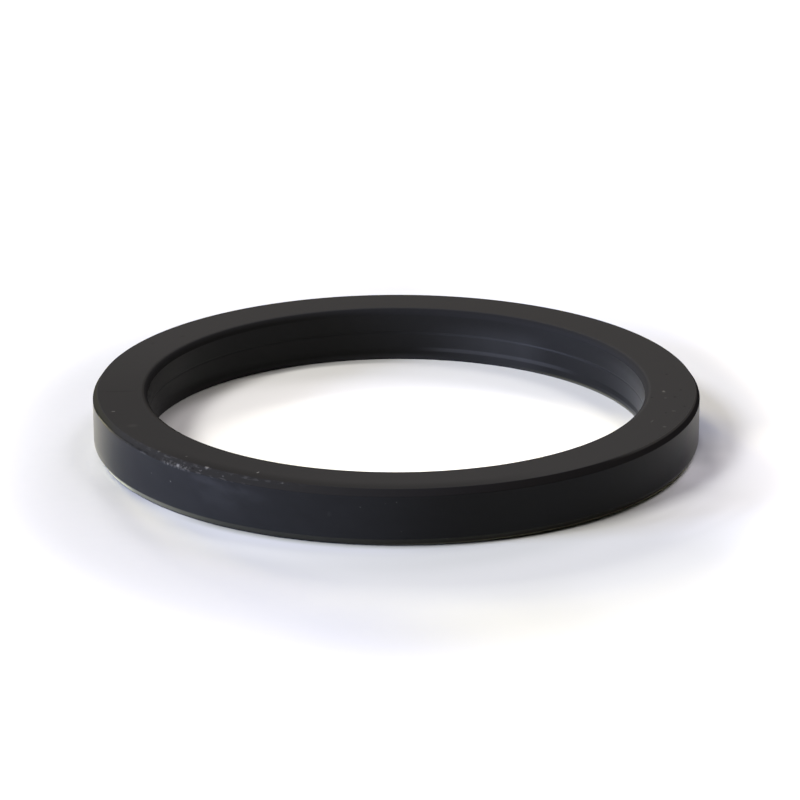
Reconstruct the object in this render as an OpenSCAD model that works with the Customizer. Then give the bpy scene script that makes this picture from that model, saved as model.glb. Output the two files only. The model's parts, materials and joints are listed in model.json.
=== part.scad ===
// Group head gasket: one moulded rubber ring that seals a filter holder
// against the group head of an espresso machine.
// The ring stands on its lower face, with the axis of the bore on +Z and the
// origin at the middle of the lower face. All lengths are in millimetres.

/* [Ring] */
// Diameter of the bore
bore_d = 52.5; // [44:0.5:62]
// Width of the rubber from the bore to the outer wall
wall_w = 5.75; // [3:0.25:9]
// Height from the lower face to the upper face
ring_h = 6; // [4.5:0.1:10]

/* [Outer edges] */
// Radial width of the steep bevel under the upper face, which leads the ring into its groove
lead_w = 0.45; // [0.2:0.05:1]
// Height of that bevel
lead_h = 0.65; // [0.3:0.05:1.6]
// Radial width of the bevel above the lower face
foot_w = 0.55; // [0.1:0.05:0.8]
// Height of that bevel
foot_h = 0.85; // [0.2:0.05:1.2]

/* [Inner edges] */
// Radius of the round between the upper face and the bore
bore_top_r = 0.6; // [0.1:0.05:1]
// Radial width of the steep bevel between the lower face and the bore
bore_foot_w = 0.25; // [0.1:0.05:0.6]
// Height of that bevel
bore_foot_h = 1.35; // [0.3:0.05:1.6]

/* [Mould line] */
// Depth of the fine line that the mould leaves round the bore
mould_line_d = 0.03; // [0.02:0.01:0.15]
// Height of that line on the wall
mould_line_h = 0.3; // [0.1:0.05:0.5]
// Distance of the line above the middle of the ring's height
mould_line_rise = 0.25; // [-0.3:0.05:0.5]

/* [Hidden] */
bore_r = bore_d / 2;
outer_r = bore_r + wall_w;
// How far a cutter reaches past the face that it cuts
past = 0.5;
$fn = 180;

// Half of the ring cut through its axis, before its edges are finished
module blank_section() {
    translate([bore_r, 0])
        square([wall_w, ring_h]);
}

// What a bevel takes off a corner: the corner is at the origin, and the ring lies to -X and -Y of it
module bevel_cutter(width, height) {
    lean = width / height;
    polygon([
        [-width - past * lean, past],
        [-width, 0],
        [0, -height],
        [past, -height],
        [past, past]
    ]);
}

// What a round takes off the same corner
module round_cutter(radius) {
    difference() {
        translate([-radius, -radius])
            square(radius + past);
        translate([-radius, -radius])
            circle(radius);
    }
}

// The mould line is a shallow groove with a pointed floor
module mould_line_cutter() {
    translate([bore_r, ring_h / 2 + mould_line_rise])
        polygon([
            [-past, -mould_line_h / 2],
            [0, -mould_line_h / 2],
            [mould_line_d, 0],
            [0, mould_line_h / 2],
            [-past, mould_line_h / 2]
        ]);
}

// The same section with its bevels, its round and the mould line cut
module finished_section() {
    difference() {
        blank_section();
        translate([outer_r, ring_h])
            bevel_cutter(lead_w, lead_h);
        translate([outer_r, 0])
            mirror([0, 1])
                bevel_cutter(foot_w, foot_h);
        translate([bore_r, ring_h])
            mirror([1, 0])
                round_cutter(bore_top_r);
        translate([bore_r, 0])
            rotate(180)
                bevel_cutter(bore_foot_w, bore_foot_h);
        mould_line_cutter();
    }
}

module gasket_ring() {
    color([0.16, 0.16, 0.165])
        rotate_extrude()
            finished_section();
}

gasket_ring();
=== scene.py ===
# Group head gasket: one moulded rubber ring, finished around its CAD model
import json
import math

import bmesh
import bpy
from mathutils import Matrix, Vector


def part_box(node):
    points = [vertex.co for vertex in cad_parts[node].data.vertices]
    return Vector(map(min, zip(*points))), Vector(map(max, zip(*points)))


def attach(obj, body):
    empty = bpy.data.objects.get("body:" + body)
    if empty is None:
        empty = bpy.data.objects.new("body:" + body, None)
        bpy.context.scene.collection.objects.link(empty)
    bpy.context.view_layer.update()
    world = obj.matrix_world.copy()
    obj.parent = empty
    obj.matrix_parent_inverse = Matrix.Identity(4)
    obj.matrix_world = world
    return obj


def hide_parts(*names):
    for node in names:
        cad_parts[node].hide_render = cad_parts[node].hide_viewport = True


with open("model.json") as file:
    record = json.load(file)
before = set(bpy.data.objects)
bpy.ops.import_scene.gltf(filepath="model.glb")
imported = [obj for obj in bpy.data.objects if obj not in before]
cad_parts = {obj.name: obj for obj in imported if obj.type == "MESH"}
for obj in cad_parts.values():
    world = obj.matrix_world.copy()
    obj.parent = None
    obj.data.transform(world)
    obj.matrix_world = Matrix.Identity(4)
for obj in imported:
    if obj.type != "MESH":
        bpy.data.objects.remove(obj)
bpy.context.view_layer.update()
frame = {"record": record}
ringLow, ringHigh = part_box("gasket_ring")
mounts = {mount["name"]: mount for mount in frame["record"]["mounts"]}
mm = 0.001
ringHeight = (ringHigh.z - ringLow.z) / mm
wallRadius = mounts["outer_wall"]["dims"]["r_mm"]
boreRadius = mounts["bore"]["dims"]["r_mm"]
print("frame loaded: ring %.2f mm high, radius %.2f to %.2f" % (ringHeight, boreRadius, wallRadius))


# Camera: it looks at the ring from the front, a little above
view = {
    "lens": 180,            # millimetres
    "sensor": 36,
    "near": 0.01,           # metres that it sees between
    "far": 20,
    "distance": 0.4246,     # metres from the middle of the ring's foot
    "elevation": 19.656,    # degrees above the floor
    "pictureSide": 800,     # pixels
    "footAcross": 396.3,    # where the middle of the foot shows in the picture, in pixels
    "footDown": 438.4,
    "roll": -0.09,          # degrees
}


def makeCamera():
    data = bpy.data.cameras.new("camera")
    data.lens = view["lens"]
    data.sensor_width = view["sensor"]
    data.clip_start = view["near"]
    data.clip_end = view["far"]
    camera = bpy.data.objects.new("camera", data)
    bpy.context.scene.collection.objects.link(camera)
    bpy.context.scene.camera = camera
    tilt = math.radians(view["elevation"])
    right = Vector((1, 0, 0))
    up = Vector((0, math.sin(tilt), math.cos(tilt)))
    back = Vector((0, -math.cos(tilt), math.sin(tilt)))
    camera.location = back * view["distance"]
    # the camera aims beside the foot's middle, so that it shows at its place in the picture
    pixel = view["distance"] * view["sensor"] / view["lens"] / view["pictureSide"]
    middle = view["pictureSide"] / 2
    aim = right * (middle - view["footAcross"]) * pixel
    aim += up * (view["footDown"] - middle) * pixel
    aimed = (aim - camera.location).to_track_quat("-Z", "Y").to_matrix()
    roll = Matrix.Rotation(math.radians(view["roll"]), 3, "Z")
    camera.rotation_euler = (aimed @ roll).to_euler()
    print("camera set")


# Light: each is a soft panel that looks at the ring; turns are seen from above, from the camera's side
world = {"colour": (1, 1, 1, 1), "strength": 0.01}
away = 1                         # metres from the ring to each panel
panels = {
    "leftLow": {"turn": -75, "height": 12, "size": (0.26, 0.36), "power": 21.7, "colour": (0.59, 0.67, 1)},
    "backLow": {"turn": -150, "height": 12, "size": (0.26, 0.36), "power": 16.1, "colour": (1, 0.86, 0.4)},
    "backLeft": {"turn": -165, "height": 25, "size": (0.4, 0.2), "power": 5.9, "colour": (1, 0.97, 0.94)},
    "leftHigh": {"turn": -60, "height": 45, "size": (0.35, 0.25), "power": 9, "colour": (0.97, 0.96, 1)},
    "rightBack": {"turn": 150, "height": 35, "size": (0.4, 0.3), "power": 3.3, "colour": (0.9, 0.85, 1)},
    "rightHigh": {"turn": 120, "height": 62, "size": (0.4, 0.3), "power": 2.9, "colour": (1, 0.96, 0.98)},
}


def makeLights():
    scene = bpy.context.scene
    scene.world = bpy.data.worlds.new("studio")
    scene.world.use_nodes = True
    background = scene.world.node_tree.nodes["Background"]
    background.inputs["Color"].default_value = world["colour"]
    background.inputs["Strength"].default_value = world["strength"]
    scene.view_settings.view_transform = "Standard"
    for name, panel in panels.items():
        data = bpy.data.lights.new(name, "AREA")
        data.shape = "RECTANGLE"
        data.size, data.size_y = panel["size"]
        data.energy = panel["power"]
        data.color = panel["colour"]
        light = bpy.data.objects.new(name, data)
        scene.collection.objects.link(light)
        turn = math.radians(panel["turn"])
        height = math.radians(panel["height"])
        level = math.cos(height)
        out = Vector((math.sin(turn) * level, -math.cos(turn) * level, math.sin(height)))
        light.location = out * away
        light.rotation_euler = (-out).to_track_quat("-Z", "Y").to_euler()
    print("%d lights set" % len(panels))


# Shader maths: a socket that takes + - * / and powers
class Wire:
    def __init__(self, shade, socket):
        self.shade = shade
        self.socket = socket

    def __add__(self, other):
        return self.shade.sum("ADD", self, other)

    def __radd__(self, other):
        return self.shade.sum("ADD", other, self)

    def __sub__(self, other):
        return self.shade.sum("SUBTRACT", self, other)

    def __rsub__(self, other):
        return self.shade.sum("SUBTRACT", other, self)

    def __mul__(self, other):
        return self.shade.sum("MULTIPLY", self, other)

    def __rmul__(self, other):
        return self.shade.sum("MULTIPLY", other, self)

    def __truediv__(self, other):
        return self.shade.sum("DIVIDE", self, other)

    def __pow__(self, other):
        return self.shade.sum("POWER", self, other)

    # 0 below low, 1 above high, smooth between; low may be the larger
    def rise(self, low, high):
        values = {"Value": self, "From Min": low, "From Max": high}
        return self.shade.node("ShaderNodeMapRange", {"interpolation_type": "SMOOTHSTEP"}, values)

    # 1 within half a reach of the middle, smooth to 0 at the whole reach
    def band(self, middle, reach):
        return self.shade.sum("ABSOLUTE", self - middle).rise(reach, reach / 2)

    # 0 at the first and the last value, 1 between the middle two, smooth elsewhere
    def span(self, start, whole, stillWhole, end):
        return self.rise(start, whole) * self.rise(end, stillWhole)


# from the first number to the second, as the share goes from 0 to 1
def blend(share, first, second):
    return first + (second - first) * share


# A material's nodes
class Shade:
    def __init__(self, name):
        self.material = bpy.data.materials.new(name)
        self.material.use_nodes = True
        self.tree = self.material.node_tree
        self.tree.nodes.clear()

    # adds a node: its type, its settings, the values or links of its sockets, and which output to use
    def node(self, kind, settings=None, values=None, output=0):
        made = self.tree.nodes.new(kind)
        for name, setting in (settings or {}).items():
            setattr(made, name, setting)
        for name, value in (values or {}).items():
            if isinstance(value, Wire):
                self.tree.links.new(value.socket, made.inputs[name])
            else:
                made.inputs[name].default_value = value
        return Wire(self, made.outputs[output]) if made.outputs else made

    def sum(self, operation, *values):
        return self.node("ShaderNodeMath", {"operation": operation}, dict(enumerate(values)))

    def vector(self, operation, first, second):
        return self.node("ShaderNodeVectorMath", {"operation": operation}, {0: first, 1: second})

    def scale(self, vector, factor):
        return self.node("ShaderNodeVectorMath", {"operation": "SCALE"}, {0: vector, "Scale": factor})

    def mix(self, factor, first, second):
        values = {0: factor, 6: first, 7: second}
        for socket in (6, 7):
            if isinstance(values[socket], tuple):
                values[socket] += (1,)
        return self.node("ShaderNodeMix", {"data_type": "RGBA"}, values, 2)

    # the object's own coordinates in millimetres
    def point(self):
        return self.scale(self.node("ShaderNodeTexCoord", None, None, "Object"), 1 / mm)

    def split(self, vector):
        return [self.node("ShaderNodeSeparateXYZ", None, {0: vector}, axis) for axis in range(3)]

    def join(self, east, north, up):
        return self.node("ShaderNodeCombineXYZ", None, {0: east, 1: north, 2: up})

    # noise between 0 and 1, about 0.5 on average
    def noise(self, vector, scale, detail=2, roughness=0.5):
        values = {"Vector": vector, "Scale": scale, "Detail": detail, "Roughness": roughness}
        return self.node("ShaderNodeTexNoise", None, values)

    # the same points, each moved a little, so that edges are ragged
    def warp(self, vector, scale, amount):
        values = {"Vector": vector, "Scale": scale, "Detail": 2}
        colour = self.node("ShaderNodeTexNoise", None, values, 1)
        centred = self.vector("SUBTRACT", colour, (0.5, 0.5, 0.5))
        return self.vector("ADD", vector, self.scale(centred, amount * 2))

    # degrees round the axis from the camera's side, negative to the left
    def turn(self, east, north):
        return self.sum("ARCTAN2", east, 0 - north) * (180 / math.pi)

    # adds up soft spots on the ring; the note above the specks says what a row holds
    def spots(self, point, rows):
        total = 0
        for turn, radius, height, around, inward, tall, strength in rows:
            angle = math.radians(turn)
            centre = (math.sin(angle) * radius, -math.cos(angle) * radius, height)
            halves = (around, inward, tall)
            values = {0: point, "Location": centre, "Rotation": (0, 0, angle), "Scale": halves}
            within = self.node("ShaderNodeMapping", {"vector_type": "TEXTURE"}, values)
            distance = self.node("ShaderNodeVectorMath", {"operation": "LENGTH"}, {0: within}, 1)
            total = distance.rise(1, 0.2) * strength + total
        return total

    def surface(self, values):
        return self.node("ShaderNodeBsdfPrincipled", None, values)

    def finish(self, shader):
        self.node("ShaderNodeOutputMaterial", None, {"Surface": shader})
        return self.material


def finishMesh(bm, name):
    mesh = bpy.data.meshes.new(name)
    bm.to_mesh(mesh)
    bm.free()
    piece = bpy.data.objects.new(name, mesh)
    bpy.context.scene.collection.objects.link(piece)
    return piece


# Ring: its section is rounded, divided and turned round the axis. Lengths are in millimetres
ring = {
    "leadWidth": 0.45,       # steep bevel under the upper face, outside
    "leadHeight": 0.65,
    "footWidth": 0.55,       # bevel above the foot, outside
    "footHeight": 0.85,
    "boreTopRound": 0.6,
    "boreFootWidth": 0.25,   # steep bevel above the foot, in the bore
    "boreFootHeight": 1.35,
    "lineRise": 0.25,        # mould line in the bore, above the middle of the height
    "lineWidth": 0.3,
    "lineDepth": 0.03,
    "crisp": 0.06,           # rounding of the lead bevel's edges
    "soft": 0.12,            # rounding of the other edges
    "fine": 0.03,            # rounding of the mould line's edges
    "roundSteps": 4,
    "edgeRow": 0.07,         # width of the narrow row of faces beside each edge
    "rowHeight": 0.6,        # widest row of faces
    "blockTurn": 12,         # degrees that the section is turned through, then the block is repeated
    "blockSteps": 33,
    "merge": 0.003,          # points closer than this become one
}
leadTop = wallRadius - ring["leadWidth"]
leadFoot = ringHeight - ring["leadHeight"]
footRadius = wallRadius - ring["footWidth"]
lineHeight = ringHeight / 2 + ring["lineRise"]


# the section's corners: radius, height and rounding
def sectionCorners():
    halfLine = ring["lineWidth"] / 2
    crisp = ring["crisp"]
    soft = ring["soft"]
    fine = ring["fine"]
    return [
        (boreRadius + ring["boreFootWidth"], 0, soft),
        (footRadius, 0, soft),
        (wallRadius, ring["footHeight"], soft),
        (wallRadius, leadFoot, crisp),
        (leadTop, ringHeight, crisp),
        (boreRadius, ringHeight, ring["boreTopRound"]),
        (boreRadius, lineHeight + halfLine, fine),
        (boreRadius + ring["lineDepth"], lineHeight, fine),
        (boreRadius, lineHeight - halfLine, fine),
        (boreRadius, ring["boreFootHeight"], soft),
    ]


# the section: a flat face with its corners rounded, of which only the divided outline is kept
def drawSection(bm):
    corners = sectionCorners()
    verts = [bm.verts.new((radius, 0, height)) for radius, height, rounding in corners]
    bm.faces.new(verts)
    for vert, (radius, height, rounding) in zip(verts, corners):
        bmesh.ops.bevel(
            bm, geom=[vert], offset=rounding, segments=ring["roundSteps"],
            profile=0.5, affect="VERTICES", material=-1)
    for edge in bm.edges[:]:
        divideEdge(bm, edge)
    bmesh.ops.delete(bm, geom=bm.faces[:], context="FACES_ONLY")


# splits a straight stretch into a narrow row at each end and even rows between
def divideEdge(bm, edge):
    length = edge.calc_length()
    narrow = ring["edgeRow"]
    if length < 3 * narrow:
        return
    rows = math.ceil((length - 2 * narrow) / ring["rowHeight"])
    places = [narrow + (length - 2 * narrow) * row / rows for row in range(rows + 1)]
    done = 0
    rest = edge
    near = edge.verts[0]
    for place in places:
        made, middle = bmesh.utils.edge_split(rest, near, (place - done) / (length - done))
        rest = rest if near in made.verts else made
        near = middle
        done = place


def makeRing():
    bm = bmesh.new()
    drawSection(bm)
    axis = {"cent": (0, 0, 0), "axis": (0, 0, 1)}
    block = ring["blockTurn"]
    section = bm.verts[:] + bm.edges[:]
    bmesh.ops.spin(bm, geom=section, angle=math.radians(block), steps=ring["blockSteps"], **axis)
    whole = bm.verts[:] + bm.edges[:] + bm.faces[:]
    copies = 360 // block - 1
    rest = math.radians(360 - block)
    bmesh.ops.spin(bm, geom=whole, angle=rest, steps=copies, use_duplicate=True, **axis)
    bmesh.ops.remove_doubles(bm, verts=bm.verts, dist=ring["merge"])
    bmesh.ops.recalc_face_normals(bm, faces=bm.faces)
    for face in bm.faces:
        face.smooth = True
    bmesh.ops.scale(bm, vec=(mm, mm, mm), verts=bm.verts)
    piece = finishMesh(bm, "gasketRing")
    print("ring made: %d faces" % len(piece.data.polygons))
    return piece


# Floor: pale paper, with shade painted on it as grey close to the ring, and painted contact shadows where
# the ring stands. A share is how much of the white is left.
# Lengths are in millimetres, and radii are from the ring's axis; a shade grows from the first
# of two values to the second
floor = {
    "side": 3.0,             # metres
    "drop": 0.02,            # under the ring's foot, so that they don't share a plane
    "white": 0.9,
    "roughness": 0.7,
    "grain": 0.1,            # how much the roughness changes from place to place
    "left": 0.41,            # share beside the ring's left, close to it and far out
    "leftFar": 0.5,
    "leftFarRadii": (42, 56),
    "front": 0.78,           # share in front, at its left end and farther along
    "frontFar": 0.635,
    "frontAlong": (14, 40),
    "right": 0.81,           # share at the right
    "rightGlow": 0.14,       # painted light added close to the ring's right end
    "rightGlowRadii": (37, 34),
    "frontGlow": 0.055,      # painted light added farther out, between the front and the right end
    "frontGlowRadius": 38.5,
    "frontGlowReach": 3,
    "frontDim": 0.045,       # taken off far out in front, as deeper painted shade
    "frontDimAlong": (38, 48),
    "behind": 0.59,          # share behind the ring's right end
    "edgeTurn": -57,         # the left share ends along a line that passes the ring here, at the edge of a lamp's cast shadow, which the front share fills with paler painted shade
    "edgeRadius": 33.8,
    "edgeStart": (-4, 8),    # along the line, where the front share starts
    "edgeSoft": 1.5,         # half the width of the line's soft edge
    "edgeSpread": 0.17,      # and how much wider that grows farther along
    "edgeBend": 4,           # how much nearer to the ring the line bends, farther along
    "edgeBendAlong": (15, 38),
    "edgeBendFar": 2.5,      # and once more near its end
    "edgeBendFarAlong": (34, 42),
    "fadeFrom": 34.5,        # the grey fades out from here on, slowly
    "fadeWidth": 28,
    "fadeFront": 17.5,       # and so much further in front of the ring and behind it
    "fadeFromRight": 37,     # the same at the right end, where it fades faster
    "fadeWidthRight": 9.5,
    "fadeFrontRight": 13,
    "clearFrom": 36,         # behind the ring the paper grows clear from here on
    "clearTo": 50,
    "clearBehind": 0.2,      # share of the grey that goes there
    "inside": 0.87,          # share inside the ring, beside the bore
    "insideFrom": 23,        # it fades to the whole white from here inwards
    "insideTo": 13,
    "touch": 0.6,            # painted contact shadow: the share times this, right beside the outer wall
    "touchWidth": 1.2,
    "footGlow": 0.1,         # painted light: part of the share that is added close to the front
    "footGlowRadii": (34.6, 32.8),
    "touchRight": 0.78,      # painted shadow: the share times this, in a wider band at the ring's right end
    "touchRightRadii": (35, 33),
    "touchInside": 0.5,      # and beside the bore, at its left
    "touchInsideWidth": 2.5,
    "touchBack": 0.55,       # and beside the bore, at its back
    "touchBackRadii": (24.8, 25.8),
    "tintFront": (1, 1, 0.75),           # tints of the painted grey
    "tintLeft": (0.93, 0.99, 1.18),
    "tintBack": (0.80, 0.87, 1.06),
    "tintBehind": (0.77, 0.87, 1.16),
    "tintInside": (1, 0.99, 0.91),
}


# where a point of the floor is; toRight and toBack go from -1 to 1, and inside, behind and
# inFront from 0 to 1
class FloorPlace:
    def __init__(self, shade):
        self.point = shade.point()
        east, north = shade.split(self.point)[:2]
        self.radius = (east * east + north * north) ** 0.5
        self.toRight = east / self.radius
        self.toBack = north / self.radius
        self.inside = self.radius.rise(wallRadius - 1, boreRadius + 1)
        self.behind = self.toRight.rise(0, 0.3) * self.toBack.rise(-0.1, 0.15)
        # a line past the ring's left, at the edge of a lamp's cast shadow, parts the left share from the
        # front one
        edgeEast = math.sin(math.radians(floor["edgeTurn"]))
        edgeNorth = -math.cos(math.radians(floor["edgeTurn"]))
        self.along = north * edgeEast - east * edgeNorth
        within = floor["edgeRadius"] - east * edgeEast - north * edgeNorth
        within = within - self.along.rise(*floor["edgeBendAlong"]) * floor["edgeBend"]
        within = within - self.along.rise(*floor["edgeBendFarAlong"]) * floor["edgeBendFar"]
        soft = self.along * floor["edgeSpread"] + floor["edgeSoft"]
        self.inFront = (within / soft).rise(-1, 1) * self.along.rise(*floor["edgeStart"])


# the share near the ring, as painted shade: at the left, in front, at the right and behind, with painted
# light near the right end
def shareNear(at):
    far = at.radius.rise(*floor["leftFarRadii"]) * at.toBack.rise(0, -0.5) * at.toRight.rise(0.3, -0.3)
    left = blend(far, floor["left"], floor["leftFar"])
    front = blend(at.along.rise(*floor["frontAlong"]), floor["front"], floor["frontFar"])
    dim = at.along.rise(*floor["frontDimAlong"]) * at.toBack.rise(-0.9, -0.97)
    front = front - dim * floor["frontDim"]
    near = blend(at.inFront, left, front)
    near = blend(at.toRight.rise(0.65, 0.95), near, floor["right"])
    glow = at.toRight.rise(0.82, 0.92) * at.toBack.band(-0.27, 0.2)
    near = near + glow * at.radius.rise(*floor["rightGlowRadii"]) * floor["rightGlow"]
    glow = at.toRight.rise(0.62, 0.78) * at.toBack.band(-0.64, 0.2)
    glow = glow * at.radius.band(floor["frontGlowRadius"], floor["frontGlowReach"])
    near = near + glow * floor["frontGlow"]
    return blend(at.behind, near, floor["behind"])


# the share all over the floor outside the ring, where it fades to the whole white
def shareOutside(at):
    atRight = at.toRight.rise(0.4, 0.9)
    further = blend(atRight, floor["fadeFront"], floor["fadeFrontRight"])
    fadeFrom = blend(atRight, floor["fadeFrom"], floor["fadeFromRight"])
    fadeFrom = fadeFrom + at.toBack * at.toBack * further
    fadeTo = fadeFrom + blend(atRight, floor["fadeWidth"], floor["fadeWidthRight"])
    outside = blend(at.radius.rise(fadeFrom, fadeTo), shareNear(at), 1)
    clear = at.radius.rise(floor["clearFrom"], floor["clearTo"])
    clear = clear * at.toBack.rise(0, 1) * at.toRight.rise(0.4, 0.1)
    return blend(clear * floor["clearBehind"], outside, 1)


# what the share is multiplied by right beside the outer wall, where the ring touches the paper: a painted
# contact shadow, painted light close to the front and a wider painted shadow at the right end
def wallContactShade(at):
    untouched = at.toRight.rise(0.2, 0.6) * at.toBack.rise(-0.05, -0.3)
    untouched = at.toRight.rise(-0.55, -0.75) + untouched
    touch = blend(untouched, floor["touch"], 1)
    wall = blend(at.radius.rise(footRadius, footRadius + floor["touchWidth"]) + at.inside, touch, 1)
    outside = 1 - at.inside
    front = at.toBack.rise(-0.7, -0.95) * at.toRight.rise(0.2, -0.1) * outside
    front = front * at.radius.rise(*floor["footGlowRadii"])
    right = at.toRight.rise(0.955, 0.985) * at.radius.rise(*floor["touchRightRadii"]) * outside
    return wall * (1 + front * floor["footGlow"]) * blend(right, 1, floor["touchRight"])


# the same painted contact shadow beside the bore, at its left and at its back
def boreContactShade(at):
    left = at.inside * at.toRight.rise(-0.6, -0.95)
    left = left * at.radius.rise(boreRadius - floor["touchInsideWidth"], boreRadius)
    back = at.inside * at.toRight.span(-0.75, -0.5, -0.3, 0.2) * at.toBack.rise(0, 0.3)
    back = back * at.radius.rise(*floor["touchBackRadii"])
    return blend(left, 1, floor["touchInside"]) * blend(back, 1, floor["touchBack"])


# tints of the painted grey, fading to none where the share is whole
def paintedShadeTint(shade, at, share):
    tint = shade.mix(at.inFront, floor["tintLeft"], floor["tintFront"])
    tint = shade.mix(at.toBack.rise(-1, 0.4), tint, floor["tintBack"])
    tint = shade.mix(at.behind, tint, floor["tintBehind"])
    tint = shade.mix(share, tint, (1, 1, 1))
    return shade.mix(at.inside, tint, floor["tintInside"])


# white times the share, so that the painted shade greys the paper near the ring
def paperMaterial():
    shade = Shade("palePaper")
    at = FloorPlace(shade)
    shareInside = blend(at.radius.rise(floor["insideFrom"], floor["insideTo"]), floor["inside"], 1)
    share = blend(at.inside, shareOutside(at), shareInside)
    share = share * wallContactShade(at) * boreContactShade(at)
    grain = shade.noise(at.point, 0.9)
    return shade.finish(shade.surface({
        "Base Color": shade.scale(paintedShadeTint(shade, at, share), share * floor["white"]),
        "Roughness": floor["roughness"] + (grain - 0.5) * floor["grain"],
    }))


def makeFloor():
    bm = bmesh.new()
    bmesh.ops.create_grid(bm, x_segments=2, y_segments=2, size=floor["side"] / 2)
    bmesh.ops.translate(bm, vec=(0, 0, -floor["drop"] * mm), verts=bm.verts)
    piece = finishMesh(bm, "studioFloor")
    piece.data.materials.append(paperMaterial())
    print("floor laid")


# Rubber: satin on the walls, matte above the lead bevel's foot, with rubbed edges and pits, and with light
# and shade painted into the colour in places.
# Turns are degrees from the camera's side, negative to the left: four say where a mark starts,
# is whole, is still whole and has ended, and two say where its middle is and how far it reaches.
# Heights are in millimetres: a middle and a reach. What ends in Rise holds two turns, heights or
# radii, and the mark grows from the first to the second
rubber = {
    "wall": (0.010, 0.010, 0.010),           # outer wall and bore
    "face": (0.0268, 0.0260, 0.0250),        # upper face
    "lead": (0.0178, 0.0168, 0.0148),        # lead bevel, from left to right
    "leadLeft": (0.0168, 0.0160, 0.0118),
    "leadLeftRise": (-60, -72),
    "leadRight": (0.0138, 0.0128, 0.0126),
    "leadRightRise": (-30, 15),
    "leadBackRise": (-95, -135),
    "round": (0.0155, 0.0152, 0.0150),       # round at the bore's top
    "dark": (0.004, 0.004, 0.004),           # pits, the dark broken line, and the dark matte that paints shade in the bore
    "pale": (1, 0.96, 0.86),                 # rubbed marks and painted highlights
    # warm tints of the painted light, on the walls and on the foot bevels
    "dust": (1, 0.97, 0.74),
    "footDust": (1, 0.96, 0.56),
    "bluish": (0.93, 0.95, 1),               # light on the walls
    "matte": 0.9,            # roughness of the upper face
    "satin": 0.32,           # roughness of the walls
    "sheen": 0.058,          # specular level of the walls
    "gloss": 0.5,            # specular level where a wall is polished
    "polish": 0.07,          # how much of the lower wall is polished, at the left
    "polishRise": (4, 0.8),
    "polishTurnRise": (-35, -60),
    "grain": 0.002,          # height of the fine grain, in millimetres
    "notBackTurns": (-135, -95, 120, 160),   # all of the ring but its back
    "satinUp": 0.2,          # how much higher the satin of the wall reaches, at the left
    "satinUpTurns": (-83, -70, -60, -48),
    "leadOut": 0.12,         # how much further out the lead bevel's colour starts, at the right
    "leadOutRise": (35, 55),
    "wallDust": 0.0015,      # painted light on the wall, at the left
    "wallDustRise": (-20, -60),
    "wallDustEnd": 0.052,    # and more, as painted highlight, at the ring's left and right ends
    "leftEndTurns": (-125, -95, -88, -60),
    "leftEndRise": (1.7, 1), # heights between which it doubles
    "rightEndTurns": (66, 78, 95, 115),
    "paleRight": 0.0045,     # painted light: paler wall, right of the front
    "paleTurns": (5, 25, 50, 64),
    "dimLeft": 0.18,         # how much darker the face is at the left than at the right
    "dimTurns": (-125, -75, -60, 20),
    "dimRim": 0.25,          # and at its outer rim, in front
    "dimRimTurns": (-12, 45),
    "dimRimRise": (29.5, 31.3),
    "rimLine": 0.016,        # broken lines along the rims of the lead bevel, partly rubbed and partly painted highlight
    "rimLineTurns": (-76, -60, -30, -12),
    "wallRimTurns": (-45, 22),
    "faceRimRise": (-62, -45),
    "smudge": 0.022,         # scuffs between those lines
    "smudgeTurns": (-44, 4.5),
    "rimRight": 0.025,       # painted highlight on the rim of the face, at the right
    "rimRightTurns": (40, 55, 90, 110),
    "patches": 0.004,        # painted light: paler patches of the wall, in front
    "patchTurns": (-35, 50),
    "seam": 0.5,             # dark broken line above the lead bevel's foot, at the left
    "seamTurns": (-66, 22),
    "footLight": 0.2,        # painted light on the foot bevel, where it reflects the lit floor, at the left
    "footLightRise": (-15, -78),
    "footLightDim": 0.4,     # and dimmer again at its far end
    "footLightDimRise": (-74, -82),
    "footEnd": 0.28,         # and more near the ring's left end
    "footEndTurns": (-67, 11),
    "footEndRise": (0.85, 0.45),
    "footAll": 0.012,        # and all round
    "footRight": 0.4,        # and more at the right, low down
    "footRightRise": (0.35, 0.05),
    "boreGlow": 0.010,       # painted reflection: paler stretch of the bore, at the back right
    "boreGlowTurns": (138, 149, 155, 178),
    "boreGlowRise": (5.2, 2.8),
    "boreBand": 0.016,       # painted reflection: light band along the top of the bore's foot bevel
    "boreBandHeights": (1.32, 0.3),
    "boreBandTurns": (153, 24),
    "boreLine": 0.005,       # painted highlight along the mould line
    "boreLineTurns": (148, 36),
    "boreLeft": 0.0028,      # painted light: paler stretch of the bore, at the back left
    "boreLeftTurns": (-128, 35),
    "boreBase": 0.022,       # painted light low in the bore, at the back left
    "boreBaseRise": (0.9, 0.1),
    "boreFoot": 0.14,        # painted light on the foot bevel of the bore, at the right
    "boreFootTurns": (60, 95, 105, 158),
    "boreFootRise": (0.5, 0.05),
    "boreShine": 0.014,      # painted highlight: upright streaks at the bore's right end
    "boreShineTurns": (50, 90, 95, 124),
    "dullLeft": 0.25,        # painted shade on the bore, at the left
    "dullLeftTurns": (-92, 26),
    "dullSeam": 0.5,         # painted shade along that top, at the right
    "dullSeamHeights": (1.15, 0.45),
    "dullTop": 0.17,         # and painted shade on the wall under the round
    "dullTopRise": (4.3, 5.1),
    "dullTurns": (60, 90, 112, 132),
}
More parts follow.
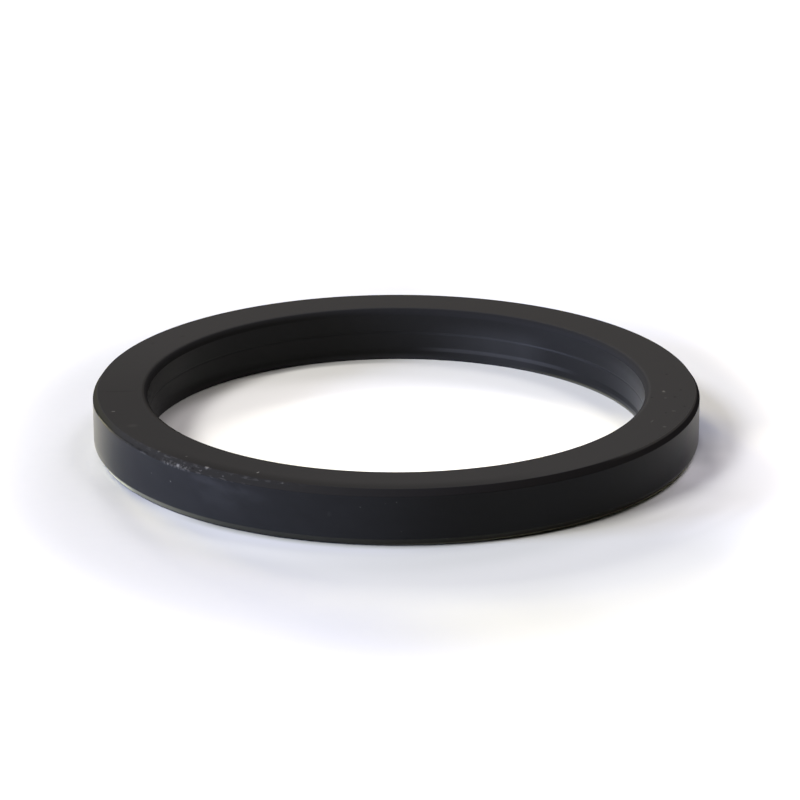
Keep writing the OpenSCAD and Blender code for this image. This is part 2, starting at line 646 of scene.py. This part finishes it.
# Spots: turn, radius, height, half sizes (round the ring, in and out, up) and strength.
# The specks are pale, the clouds are painted soft light on the outer wall, and the pits are dark
specks = [
    (-74.2, 30.5, 6, 0.16, 0.25, 0.3, 0.07),
    (-43.7, 30.5, 6, 0.12, 0.2, 0.3, 0.04),
    (-36.8, 31.5, 5.95, 0.35, 0.2, 0.3, 0.10),
    (-27.2, 30.1, 6, 0.14, 0.25, 0.3, 0.11),
    (85.6, 28.2, 6, 0.2, 0.2, 0.3, 0.08),
    (85, 28.2, 6, 0.1, 0.3, 0.3, 0.06),
    (81.2, 28.5, 6, 0.2, 0.2, 0.3, 0.02),
    (64, 30.6, 6, 0.3, 0.3, 0.3, 0.02),
    (73.5, 30, 6, 0.2, 0.3, 0.3, 0.02),
    (66, 28.8, 6, 0.6, 0.12, 0.3, 0.02),
    (-64.8, 29.9, 6, 0.7, 0.8, 0.3, 0.006),
    (-49.4, 31.5, 6, 0.25, 0.2, 0.3, 0.035),
    (-43.3, 31.85, 5.42, 0.3, 0.3, 0.2, 0.09),
    (-45.8, 31.9, 5.3, 0.25, 0.3, 0.1, 0.05),
    (-41.4, 31.85, 5.45, 0.3, 0.3, 0.12, 0.04),
    (-37.9, 31.8, 5.6, 0.25, 0.3, 0.1, 0.03),
    (-32.8, 31.8, 5.6, 0.2, 0.3, 0.1, 0.04),
    (-20.9, 31.6, 5.9, 0.2, 0.3, 0.12, 0.035),
    (-45.2, 32, 3.5, 0.12, 0.2, 0.12, 0.08),
    (-50.7, 32, 3.6, 0.08, 0.2, 0.08, 0.04),
    (-6.4, 32, 4.2, 0.08, 0.2, 0.1, 0.03),
    (0, 32, 4.75, 0.1, 0.2, 0.1, 0.03),
    (9, 31.95, 0.76, 0.1, 0.2, 0.1, 0.03),
    (-2, 32, 4.6, 0.08, 0.2, 0.08, 0.02),
    (0.8, 32, 1.7, 0.1, 0.2, 0.08, 0.02),
    (-12, 32, 3.3, 0.3, 0.3, 0.4, 0.005),
]
clouds = [
    (-37, 32, 4.8, 2.6, 2, 0.6, 0.006),
    (-31, 32, 4.5, 3, 2, 0.8, 0.005),
    (-27, 32, 4.1, 2.6, 2, 1, 0.003),
    (-34, 32, 3.4, 5, 3, 1.8, 0.003),
]
pits = [
    (96.6, 28.96, 6, 0.25, 0.18, 0.3, 0.5),
    (86.6, 29.99, 6, 0.2, 0.18, 0.3, 0.5),
    (82.1, 29.44, 6, 0.2, 0.2, 0.3, 0.6),
    (81.1, 27.06, 6, 0.2, 0.2, 0.3, 0.5),
    (76.8, 30.8, 6, 0.2, 0.2, 0.3, 0.4),
    (72, 29.34, 6, 0.2, 0.2, 0.3, 0.4),
    (-86.2, 29.2, 6, 0.16, 2.8, 0.3, 0.3),
    (-125.3, 28.7, 6, 0.5, 0.3, 0.3, 0.15),
    (-118.1, 30.1, 6, 0.5, 0.3, 0.3, 0.15),
    (-39.75, 31.8, 5.6, 0.3, 0.3, 0.12, 0.4),
]


# where a point of the ring is; notBack, above and what starts with on go from 0 to 1
class RingPlace:
    def __init__(self, shade):
        self.point = shade.point()
        self.ragged = shade.warp(self.point, 4, 0.12)
        self.east, self.north, self.up = shade.split(self.point)
        self.radius = (self.east * self.east + self.north * self.north) ** 0.5
        self.turn = shade.turn(self.east, self.north)
        self.around = self.turn * (math.pi / 180 * wallRadius)
        # what is worn at the left or right fades out before it meets at the back
        self.notBack = self.between("notBackTurns")
        wallTop = leadFoot + self.between("satinUpTurns") * rubber["satinUp"]
        self.above = (self.up - wallTop).rise(-0.1, -0.03)
        below = 1 - self.above
        outer = self.turn.rise(*rubber["leadOutRise"]) * self.notBack
        leadEdge = leadTop + outer * rubber["leadOut"]
        roundTop = boreRadius + ring["boreTopRound"]
        self.onLead = self.above * (self.radius - leadEdge).rise(-0.02, 0.03)
        self.onRound = self.above * self.radius.rise(roundTop - 0.08, roundTop - 0.35)
        self.onBore = self.radius.rise(boreRadius + 0.6, boreRadius + 0.4) * below
        self.onWall = self.radius.rise(wallRadius - 0.6, wallRadius - 0.4) * below
        footTop = ring["footHeight"]
        self.onFoot = self.up.rise(footTop + 0.06, footTop - 0.1) * self.up.rise(0.1, 0.3)

    def between(self, name):
        turns = rubber[name]
        return self.turn.span(*turns) if len(turns) == 4 else self.turn.band(*turns)


# pale marks: rubbed specks, broken lines along the lead bevel's rims that are partly rubbed and partly
# painted highlight, a rubbed smudge between them, and a painted highlight on the face's rim at the right
def wearAndHighlightMarks(shade, at):
    strokes = shade.noise(shade.join(at.around, at.radius * 3, at.up * 3), 1.3, 2, 0.5)
    fine = shade.noise(at.point, 3.2, 2, 0.6)
    faceRim = at.up.band(ringHeight - 0.13, 0.16) * at.radius.band(leadTop + 0.06, 0.16)
    faceRim = faceRim * at.turn.rise(*rubber["faceRimRise"])
    wallRim = at.up.band(leadFoot - 0.02, 0.13) * at.radius.rise(wallRadius - 0.2, wallRadius - 0.1)
    wallRim = wallRim * at.between("wallRimTurns")
    rimLines = (faceRim + wallRim) * strokes.rise(0.5, 0.66) * rubber["rimLine"]
    smudge = at.between("smudgeTurns") * at.up.band(leadFoot + 0.05, 0.35) * fine.rise(0.45, 0.62)
    rimRight = at.above * at.between("rimRightTurns") * at.radius.band(leadTop + 0.05, 0.14)
    marks = shade.spots(at.ragged, specks) + rimLines * at.between("rimLineTurns")
    return marks + smudge * rubber["smudge"] + rimRight * rubber["rimRight"]


# dark marks: pits, and the dark broken line above the lead bevel's foot
def darkMarks(shade, at):
    broken = shade.noise(shade.join(at.around, at.radius * 2, at.up * 2), 1.6, 3, 0.6)
    seam = at.up.band(leadFoot + 0.12, 0.14) * broken.rise(0.62, 0.42) * at.between("seamTurns")
    return shade.spots(at.ragged, pits) + seam * rubber["seam"]


# painted light on the outer wall: clouds and paler stretches
def wallLight(shade, at):
    patchy = shade.noise(shade.join(at.around + at.up * 0.9, 0, at.up * 1.6), 0.35, 3)
    patches = shade.spots(at.point, clouds) * patchy.rise(0.3, 0.6)
    patches = patches + patchy * at.between("patchTurns") * rubber["patches"]
    return at.onWall * (patches + at.between("paleTurns") * rubber["paleRight"])


# painted light in the bore: a band, a line along the mould line, paler stretches, light low at the back
# left, and streaks
def boreLight(shade, at):
    band = at.up.band(*rubber["boreBandHeights"]) * at.between("boreBandTurns") * rubber["boreBand"]
    line = at.up.band(lineHeight - 0.05, 0.2) * at.between("boreLineTurns") * rubber["boreLine"]
    glow = at.up.rise(*rubber["boreGlowRise"]) * at.between("boreGlowTurns") * rubber["boreGlow"]
    left = at.between("boreLeftTurns") * rubber["boreLeft"]
    base = at.up.rise(*rubber["boreBaseRise"]) * at.north.rise(8, 20) * at.east.rise(9, 0)
    streaks = shade.noise(shade.join(at.around, at.up * 0.12, 0), 0.35, 3)
    shine = blend(shade.noise(shade.join(at.around, at.up * 0.15, 0), 0.6, 1), 0.3, 0.7)
    shine = shine * at.between("boreShineTurns") * rubber["boreShine"]
    lines = (band + line + glow) * (0.8 + streaks * 0.4)
    return at.onBore * (lines + left + base * rubber["boreBase"] + shine)


# painted light on the foot bevel, on the wall at the left and at the ring's ends, and on the bore's foot
# bevel
def paintedLightShare(at):
    dim = at.turn.rise(*rubber["footLightDimRise"]) * rubber["footLightDim"]
    foot = at.turn.rise(*rubber["footLightRise"]) ** 2 * (1 - dim)
    foot = foot * at.notBack * rubber["footLight"]
    end = at.between("footEndTurns") * at.up.rise(*rubber["footEndRise"])
    foot = foot + end * rubber["footEnd"]
    # it grows in two steps, and has ended at the ring's right end
    right = (at.turn.rise(-15, 45) + at.turn.rise(45, 60)) * at.turn.rise(90, 72)
    right = right * at.up.rise(*rubber["footRightRise"]) * rubber["footRight"]
    left = at.turn.rise(*rubber["wallDustRise"]) * at.notBack * rubber["wallDust"]
    ends = at.between("leftEndTurns") * (1 + at.up.rise(*rubber["leftEndRise"]))
    ends = (ends + at.between("rightEndTurns")) * rubber["wallDustEnd"]
    outer = at.onFoot * (foot + rubber["footAll"]) + right + left + ends
    bore = at.up.rise(*rubber["boreFootRise"]) * at.between("boreFootTurns") * rubber["boreFoot"]
    return blend(at.onBore, outer, bore)


# colour of the upper face, the lead bevel and the round at the bore's top
def upperColour(shade, at):
    face = shade.scale(rubber["face"], 1 - at.between("dimTurns") * rubber["dimLeft"])
    dimRim = at.between("dimRimTurns") * at.radius.rise(*rubber["dimRimRise"])
    face = shade.scale(face, 1 - dimRim * rubber["dimRim"])
    lead = shade.mix(at.turn.rise(*rubber["leadLeftRise"]), rubber["lead"], rubber["leadLeft"])
    right = at.turn.rise(*rubber["leadRightRise"]) + at.turn.rise(*rubber["leadBackRise"])
    lead = shade.mix(right, lead, rubber["leadRight"])
    upper = shade.mix(at.onRound, shade.mix(at.onLead, face, lead), rubber["round"])
    upper = shade.mix(darkMarks(shade, at), upper, rubber["dark"])
    return shade.mix(at.above, rubber["dark"], upper)


# colour of the outer wall, the bore and their foot bevels, with the light painted on them
def wallColour(shade, at):
    light = wallLight(shade, at) + boreLight(shade, at)
    colour = shade.mix(light, rubber["wall"], rubber["bluish"])
    dust = shade.mix(at.onFoot, rubber["dust"], rubber["footDust"])
    return shade.mix(paintedLightShare(at), colour, dust)


# how much of the surface is matte: all above the lead bevel's foot, and some of the bore, where the dark
# matte paints shade
def matteAndShadeShare(at):
    left = at.between("dullLeftTurns") * rubber["dullLeft"]
    seam = at.up.band(*rubber["dullSeamHeights"]) * rubber["dullSeam"]
    top = at.up.rise(*rubber["dullTopRise"]) * rubber["dullTop"]
    right = (seam + top) * at.between("dullTurns")
    return at.above + at.onBore * (left + right)


# the walls are satin, with some gloss low at the left, and the rest is matte; in the bore the dark matte
# paints shade
def rubberMaterial():
    shade = Shade("mouldedRubber")
    at = RingPlace(shade)
    wearAndHighlights = wearAndHighlightMarks(shade, at)
    grain = shade.noise(at.point, 7, 3) * rubber["grain"]
    bump = shade.node("ShaderNodeBump", None, {"Strength": 1, "Distance": mm, "Height": grain})
    walls = shade.mix(wearAndHighlights, wallColour(shade, at), rubber["pale"])
    satin, glossy = [shade.surface({
        "Base Color": walls,
        "Roughness": rubber["satin"],
        "Specular IOR Level": rubber[level],
        "Normal": bump,
    }) for level in ("sheen", "gloss")]
    matte = shade.surface({
        "Base Color": shade.mix(wearAndHighlights, upperColour(shade, at), rubber["pale"]),
        "Roughness": rubber["matte"],
        "Specular IOR Level": 0,
        "Normal": bump,
    })
    polished = at.up.rise(*rubber["polishRise"]) * at.turn.rise(*rubber["polishTurnRise"])
    polished = polished * at.notBack * (1 - at.onBore) * rubber["polish"]
    lower = shade.node("ShaderNodeMixShader", None, {0: polished, 1: satin, 2: glossy})
    both = shade.node("ShaderNodeMixShader", None, {0: matteAndShadeShare(at), 1: lower, 2: matte})
    print("rubber mixed")
    return shade.finish(both)


makeCamera()
makeFloor()
makeLights()
gasket = makeRing()
gasket.data.materials.append(rubberMaterial())
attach(gasket, "root")
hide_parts("gasket_ring")
